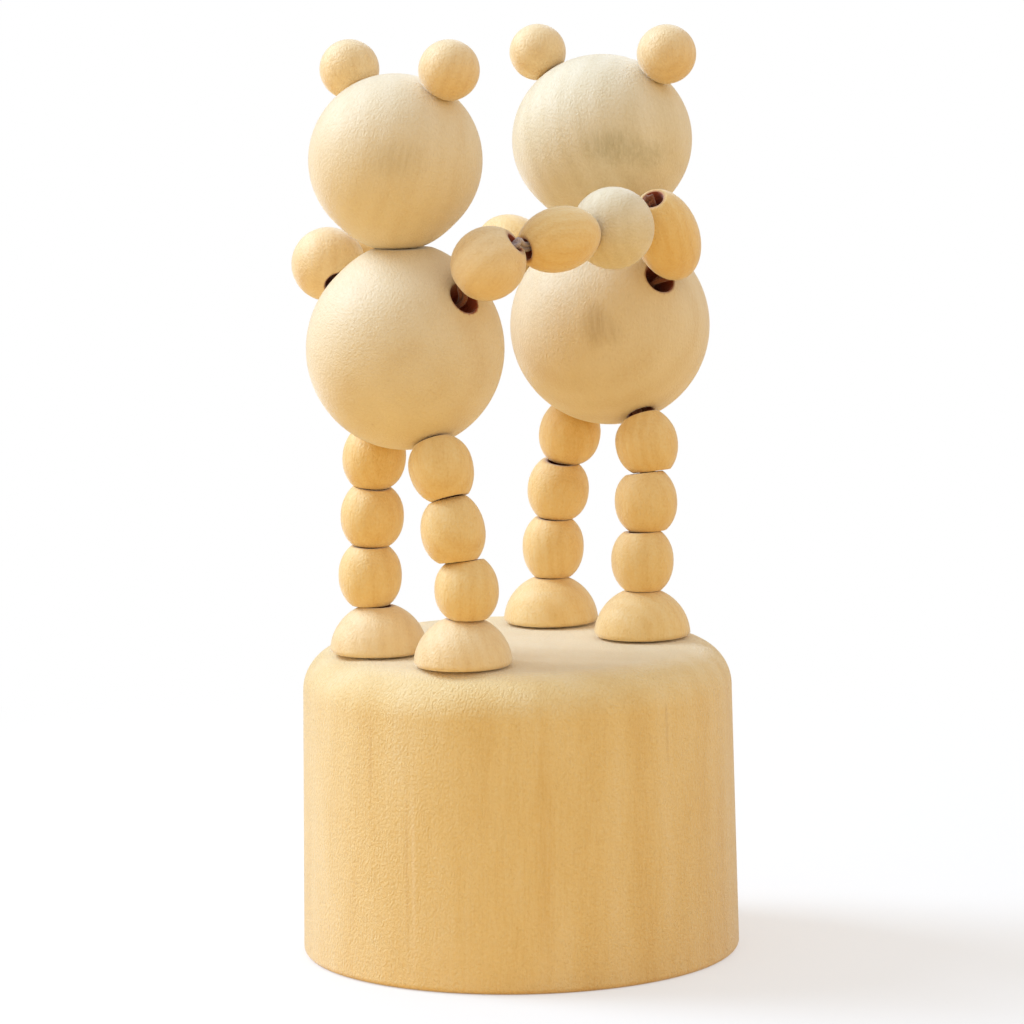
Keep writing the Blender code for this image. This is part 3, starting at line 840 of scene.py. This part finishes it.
def make_heads():
    looks = {
        "a": dict(grain=(0.2, -0.1, 1.0), heart=(9.0, -15.0), ring_gap=2.8, tones=CREAM, figure=0.4, marks=[
            ((-24.86, -5.85, 103.02), (5.0, 5.0, 3.4), "#c3ad7e", 0.4),
        ]),
        "b": dict(grain=(0.1, 0.3, 1.0), heart=(-12.0, 16.0), ring_gap=2.6, tones=GREYER, figure=0.4, marks=[
            ((9.81, -8.71, 102.9), (5.2, 5.2, 3.2), "#a69a70", 0.5),
            ((14.2, -10.7, 101.6), (4.6, 4.6, 2.6), "#a69a70", 0.4),
        ]),
    }
    for bear, look in looks.items():
        middle, radius, half = HEADS[bear]
        steps = 48
        profile = []
        lowest = math.asin((NECK_HOLE_RADIUS + EDGE) / radius)
        for i in range(steps + 1):
            angle = (math.pi - lowest) * i / steps
            profile.append((radius * math.sin(angle), -half * fuller(-math.cos(angle))))
        depth = NECK_HOLE_DEPTH - half
        profile += [(NECK_HOLE_RADIUS, EDGE - half), (NECK_HOLE_RADIUS, depth), (0.0, depth)]
        bm = turned(profile, 112, closed=False)
        stand(bm, middle, UP)
        head = bear + "_head"
        mat = wood(head, middle, **look)
        neck = (spot(*middle), -UP, NECK_HOLE_RADIUS)
        riding_piece(head + "_ball", bm, mat, head, head, [neck])


def make_ears():
    """Small balls cut flat where they are glued to the head."""
    for side, (middle, radius) in EARS.items():
        head_middle, across, half = HEADS[side[0]]
        away = (Vector(middle) - Vector(head_middle)).normalized()
        surface = 1 / math.sqrt((away.x ** 2 + away.y ** 2) / across ** 2 + away.z ** 2 / half ** 2)
        seat = Vector(head_middle) + away * (surface + EAR_GAP)
        bm = bmesh.new()
        bmesh.ops.create_uvsphere(bm, u_segments=64, v_segments=40, radius=radius * MM)
        stand(bm, middle, away)
        cut = bmesh.ops.bisect_plane(bm, geom=bm.verts[:] + bm.edges[:] + bm.faces[:], plane_co=spot(*seat),
                                     plane_no=-away, clear_outer=True)
        edge = [item for item in cut["geom_cut"] if isinstance(item, bmesh.types.BMEdge)]
        bmesh.ops.contextual_create(bm, geom=edge)
        mat = bead_wood(side + "_ear", middle, (0.3, 0.2, 1), PALE_HONEY)
        riding_piece(side + "_ear_ball", bm, mat, side[0] + "_head", side + "_ear")


# Cords

def smooth_route(points, spacing):
    """Points about the spacing apart on a smooth curve through the given ones, in millimetres."""
    points = [Vector(point) for point in points]
    padded = [points[0] * 2 - points[1]] + points + [points[-1] * 2 - points[-2]]
    route = []
    for before, first, second, after in zip(padded, padded[1:], padded[2:], padded[3:]):
        count = max(2, round((second - first).length / spacing))
        for i in range(count):
            t = i / count
            route.append(0.5 * (2 * first + (second - before) * t
                                + (2 * before - 5 * first + 4 * second - after) * t ** 2
                                + (3 * first - before - 3 * second + after) * t ** 3))
    return route + [points[-1]]


def two_ply(points, radius):
    """A cord of two plies laid side by side with a slow twist, flat towards the camera halfway along."""
    ply_radius = 0.6 * radius
    ply_offset = 0.56 * radius
    spacing = 0.4
    lay = 14.0
    route = smooth_route(points, spacing)
    bm = bmesh.new()
    for hand in (1, -1):
        ply = []
        for i, here in enumerate(route):
            along = (route[min(i + 1, len(route) - 1)] - route[max(i - 1, 0)]).normalized()
            level = along.cross(CAMERA_LOOKS).normalized()
            angle = 2 * math.pi * spacing * (i - len(route) / 2) / lay
            ply.append(spot(*(here + Matrix.Rotation(angle, 3, along) @ level * ply_offset * hand)))
        tube_mesh(bm, ply, ply_radius)
    return bm


def cord_piece(name, points, node, mat, bodies, across=None):
    """One stretch of cord, which rides on one body, or, across a seam, stays where it is made."""
    bm = two_ply(points, CORDS[node][0])
    if across:
        blended_piece(name, bm, mat, node)
    else:
        riding_piece(name, bm, mat, bodies[0], node)


def seam_span(first, second):
    """The short stretch over a seam where a cord turns from one piece to the next, in metres."""
    way = (second - first).normalized() * SEAM_HALF
    middle = (first + second) / 2
    return spot(*(middle - way)), spot(*(middle + way))


def cord_aside(node):
    """How far a cord lies off the middle of the holes in block and legs."""
    return Vector((CORDS[node][1], 0, 0))


def leg_cord(side, node, clean, shaded_cord):
    """The cord from its knot in the button up through the block, the foot and the leg, into the body."""
    x, y = FEET[side]
    aside = cord_aside(node)
    knot = Vector((x, y, KNOT_HEIGHT)) + aside * KNOTS_APART
    tie_knot("%s_%s_knot" % (node, side), knot, node, clean)
    name = "%s_%s_part_" % (node, side)
    rise = [knot + UP * 0.6] + [Vector((x, y, z)) + aside for z in BORE_HEIGHTS]
    across = (spot(x, y, BUTTON_TOP), spot(x, y, BORE_CEILING))
    cord_piece(name + "0", rise, node, clean, ("button", "base"), across)
    below = Vector((x, y, FOOT_TOP))
    last = [Vector((x, y, z)) + aside for z in BLOCK_HEIGHTS]
    under = "base"
    # From the block up through the legs and into the body, the cord is drawn with painted shade.
    for i, (middle, axis, ((down, low_face), (up, high_face))) in enumerate(leg_beads(side)):
        foot = middle - axis * down
        above = "%s_leg_%d" % (side, i + 1)
        points = last + [(below + foot) / 2 + aside, middle + aside]
        cord_piece(name + str(i + 1), points, node, shaded_cord, (under, above), seam_span(below, foot))
        last = [middle + aside]
        below = middle + axis * up
        under = above
    centre = body_middle(side)
    down = leg_direction(side)
    hip = centre + down * BODIES[side[0]][1]
    # No joint is shared by leg and body, so each keeps its own end of the cord, inside the body's hole.
    top = [centre + down * reach + aside for reach in (*HIP_OVERLAP, LEG_JOIN)]
    cord_piece(name + "4", last + [(below + hip) / 2 + aside] + top[:1], node, shaded_cord, (under,))
    cord_piece(name + "5", top, node, shaded_cord, (side[0] + "_body",))


def tie_knot(name, middle, node, mat):
    """A tight overhand knot with two short tails, in its pocket in the button."""
    size = 0.24
    thick = CORDS[node][0] * 0.62
    turns = 72
    loop = []
    for i in range(turns):
        t = 2 * math.pi * i / turns
        offset = Vector((math.sin(t) + 2 * math.sin(2 * t), math.cos(t) - 2 * math.cos(2 * t),
                         -1.6 * math.sin(3 * t)))
        loop.append(spot(*(middle + offset * size)))
    bm = bmesh.new()
    tube_mesh(bm, loop, thick, closed=True)
    for hand in (1, -1):
        tail = [middle + Vector((0.3 * hand, 0, -0.2)), middle + Vector((0.45 * hand, 0.2, -0.8)),
                middle + Vector((0.6 * hand, 0.5 * hand, -1.5))]
        tube_mesh(bm, [spot(*point) for point in smooth_route(tail, 0.4)], thick * 0.8)
    riding_piece(name, bm, mat, "button", node)


def leave_bead(end, along, toward):
    """Points where a cord leaves a bead's end and heads for the next point."""
    way = toward - end
    sideways = way - along * way.dot(along)
    if sideways.length > 0:
        end = end + sideways.normalized() * min(LEAN_IN_HOLE, sideways.length / 2)
    if math.degrees(way.angle(along)) < SHARP_TURN:
        return [end]
    return [end, end + along * min(STRAIGHT_OUT, way.length * STRAIGHT_SHARE)]


def arm_cord(arm, first, last, node, clean, shaded_cord):
    """The loop from bear A's body through the four arm beads to bear B's body."""
    # Where the cord enters each bead or shoulder, its axis, and where the cord leaves it.
    ends = []
    for name, middle, axis, outer, half, flat in ARMS[arm]:
        along = Vector(axis).normalized()
        ends.append((Vector(middle) - along * half, along, Vector(middle) + along * half))
    for side, place in ((first, 0), (last, len(ends) + 1)):
        mouth = body_middle(side) + Vector(SHOULDERS[side]).normalized() * SHOULDER_EDGE
        ends.insert(place, (mouth, None, mouth))
    bodies = [first[0] + "_body"] + [bead[0] for bead in ARMS[arm]] + [last[0] + "_body"]

    # The cord's points on the way into each bead or shoulder, up to its middle, and on the way out of it.
    ways_in = []
    ways_out = []
    for number, (start, along, end) in enumerate(ends):
        if along is None:
            centre = body_middle(bodies[number])
            out = (start - centre).normalized()
            path = [centre + out * MOUTH_JOIN, start]
            ways_out.append(path)
            ways_in.append(path[::-1])
        else:
            middle = (start + end) / 2
            ways_in.append(leave_bead(start, -along, ends[number - 1][2])[::-1] + [middle])
            ways_out.append([middle] + leave_bead(end, along, ends[number + 1][0]))
    for number in range(len(ends) - 1):
        name = "%s_part_%d" % (node, number)
        way_out = ways_out[number]
        way_in = ways_in[number + 1]
        pair = (bodies[number], bodies[number + 1])
        # Stretches that lie in shade get the cord drawn with painted shade.
        mat = shaded_cord if number in SHADED_PARTS[arm] else clean
        if number == 2:
            # The two hands only meet: each keeps its own end of cord, which reaches into the other's hole.
            inwards = (way_in[-1] - way_in[-2]).normalized()
            reaches = way_out + [way_in[0], way_in[0] + inwards * HAND_REACH]
            cord_piece(name + "a", reaches, node, mat, pair[:1])
            meets = [way_in[0] - inwards * 0.1, way_in[-1]]
            cord_piece(name + "b", meets, node, mat, pair[1:])
            continue
        across = seam_span(ends[number][2], ends[number + 1][0])
        cord_piece(name, way_out + way_in, node, mat, pair, across)


def body_cord(side, node, mat):
    """Inside the body, from the leg's hole to the shoulder's."""
    centre = body_middle(side)
    aside = cord_aside(node)
    out = Vector(SHOULDERS[side]).normalized()
    swing = Vector((0, math.copysign(2.1, out.y), 0))
    points = [centre + leg_direction(side) * LEG_JOIN + aside, centre + swing + aside,
              centre + out * BEND, centre + out * MOUTH_JOIN]
    cord_piece("%s_%s_inside" % (node, side), points, node, mat, (side[0] + "_body",))


def head_cord(side, clean, shaded_cord):
    """From the body's middle up through the neck, into the head."""
    bear = side[0]
    node = bear + "_head_cord"
    leg_cord(side, node, clean, shaded_cord)
    centre = body_middle(side)
    start = centre + leg_direction(side) * LEG_JOIN + cord_aside(node)
    points = [start, centre + Vector((0.5, -0.3, 0)), centre + UP * BEND, centre + UP * MOUTH_JOIN]
    cord_piece(node + "_inside", points, node, shaded_cord, (bear + "_body",))
    head, across, half = HEADS[bear]
    chin = Vector(head) - UP * half
    crown = centre + UP * BODIES[bear][2]
    below_crown = 12.0
    in_head = NECK_HOLE_DEPTH - 1.5
    points = [centre + UP * MOUTH_JOIN, centre + UP * below_crown, chin + UP, chin + UP * in_head]
    cord_piece(node + "_neck", points, node, shaded_cord, (bear + "_body", bear + "_head"), seam_span(crown, chin))


def make_cords():
    """Two loops through the arms and down one leg of each bear, and a cord to each head."""
    clean = cotton_cord("Cotton_cord", CLEAN_CORD)
    # The same cotton cord again, painted brown as painted shade, for the stretches seen in holes and seams.
    shaded_cord = cotton_cord("Cotton_cord_shaded_in_holes", SHADED_CORD)
    loops = {"minus_y": ("a_right", "b_left"), "plus_y": ("a_left", "b_right")}
    for arm, (first, last) in loops.items():
        node = "arm_cord_" + arm
        for side in (first, last):
            leg_cord(side, node, clean, shaded_cord)
            body_cord(side, node, shaded_cord)
        arm_cord(arm, first, last, node, clean, shaded_cord)
    for side in ("a_right", "b_left"):
        head_cord(side, clean, shaded_cord)


# Camera, floor and light

def camera_axes():
    """Which way the camera looks, its right and its up, with the photo's slight roll."""
    azimuth = math.radians(CAMERA_AZIMUTH)
    elevation = math.radians(CAMERA_ELEVATION)
    roll = math.radians(CAMERA_ROLL)
    looks = Vector((-math.sin(azimuth) * math.cos(elevation), math.cos(azimuth) * math.cos(elevation),
                    -math.sin(elevation)))
    level = Vector((math.cos(azimuth), math.sin(azimuth), 0))
    upright = level.cross(looks)
    right = level * math.cos(roll) + upright * math.sin(roll)
    up = upright * math.cos(roll) - level * math.sin(roll)
    return looks, right, up


CAMERA_LOOKS, CAMERA_RIGHT, CAMERA_UP = camera_axes()


def make_camera():
    """The photo's camera, shifted so that the point it is aimed at lies on its pixel."""
    data = bpy.data.cameras.new("camera")
    data.sensor_width = SENSOR_WIDTH
    data.lens = SENSOR_WIDTH * FOCAL_PIXELS / PHOTO_SIZE
    data.shift_x = (PHOTO_SIZE / 2 - AIM_PIXEL[0]) / PHOTO_SIZE
    data.shift_y = (AIM_PIXEL[1] - PHOTO_SIZE / 2) / PHOTO_SIZE
    data.clip_start = 0.01
    data.clip_end = 20.0
    camera = new_object("camera", data)
    turn = Matrix((CAMERA_RIGHT, CAMERA_UP, -CAMERA_LOOKS)).transposed()
    camera.matrix_world = Matrix.Translation(spot(*(AIM - CAMERA_LOOKS * CAMERA_DISTANCE))) @ turn.to_4x4()
    bpy.context.scene.camera = camera


def backdrop_rays(tree):
    """1 for the rays that see the white backdrop: the camera's own, and those off metal or through glass."""
    rays = add_node(tree, "LightPath").outputs
    seen = rays["Is Camera Ray"]
    for kind in ("Is Glossy Ray", "Is Transmission Ray"):
        either = add_node(tree, "Math", links={0: seen, 1: rays[kind]}, use_clamp=True)
        seen = either.outputs["Value"]
    return seen


def pick_shader(tree, share, first, second):
    """The first shader where the share is 0, the second where it is 1."""
    return add_node(tree, "MixShader", links={0: share, 1: first, 2: second}).outputs["Shader"]


def make_floor():
    """A floor that throws honey-coloured light up at the bears, but looks white, with the shadow close by."""
    bm = bmesh.new()
    bmesh.ops.create_grid(bm, x_segments=1, y_segments=1, size=8.0)
    mat, tree, table = new_material("Pale_floor")
    set_sockets(tree, table, {"Base Color": linear(TABLE), "Roughness": 0.9})
    seen = add_node(tree, "BsdfDiffuse", {"Color": linear(FLOOR_SEEN)})
    white = add_node(tree, "Emission", {"Color": (1, 1, 1, 1), "Strength": 1.0})
    far = eased(tree, vector_step(tree, "LENGTH", object_place(tree)), 0.05, 0.2, low=0.5)
    view = pick_shader(tree, far, seen.outputs["BSDF"], white.outputs["Emission"])
    both = pick_shader(tree, backdrop_rays(tree), table.outputs["BSDF"], view)
    tree.links.new(both, tree.nodes["Material Output"].inputs["Surface"])
    new_mesh("floor", bm, mat)


def lamp(name, direction, distance, size, power, colour):
    """A soft square lamp that faces the bears, placed by its direction in the camera's right, up and back."""
    data = bpy.data.lights.new(name, "AREA")
    data.shape = "SQUARE"
    data.size = size
    data.energy = power
    data.color = linear(colour)[:3]
    right, up, back = direction
    way = (CAMERA_RIGHT * right + CAMERA_UP * up - CAMERA_LOOKS * back).normalized()
    light = new_object(name, data)
    light.matrix_world = Matrix.Translation(spot(*AIM) + way * distance) @ turn_to(way)


def make_light():
    """A cool window at the upper left, a weak lamp at the right, and a room that looks white itself."""
    lamp("window", (-0.72, 0.68, -0.12), 0.9, 0.4, WINDOW_WATTS, "#cfe6ff")
    lamp("room_lamp", (0.9, 0.2, -0.15), 0.9, 0.5, LAMP_WATTS, "#fff0d8")
    world = bpy.data.worlds.new("room")
    world.use_nodes = True
    tree = world.node_tree
    room = tree.nodes["Background"]
    around = add_node(tree, "TexCoord").outputs["Generated"]
    height = add_node(tree, "SeparateXYZ", links={0: around}).outputs["Z"]
    sky = ramp(tree, height, ((0.0, ROOM), (0.9, CEILING)))
    set_sockets(tree, room, {"Strength": ROOM_LEVEL}, {"Color": sky})
    white = add_node(tree, "Background", {"Color": (1, 1, 1, 1), "Strength": 1.0})
    both = pick_shader(tree, backdrop_rays(tree), room.outputs["Background"], white.outputs["Background"])
    tree.links.new(both, tree.nodes["World Output"].inputs["Surface"])
    bpy.context.scene.world = world
    bpy.context.scene.view_settings.view_transform = "Standard"


make_camera()
make_floor()
make_light()
make_base()
make_button()
make_spring()
make_feet()
make_legs()
make_bodies()
make_heads()
make_ears()
make_arms()
make_cords()
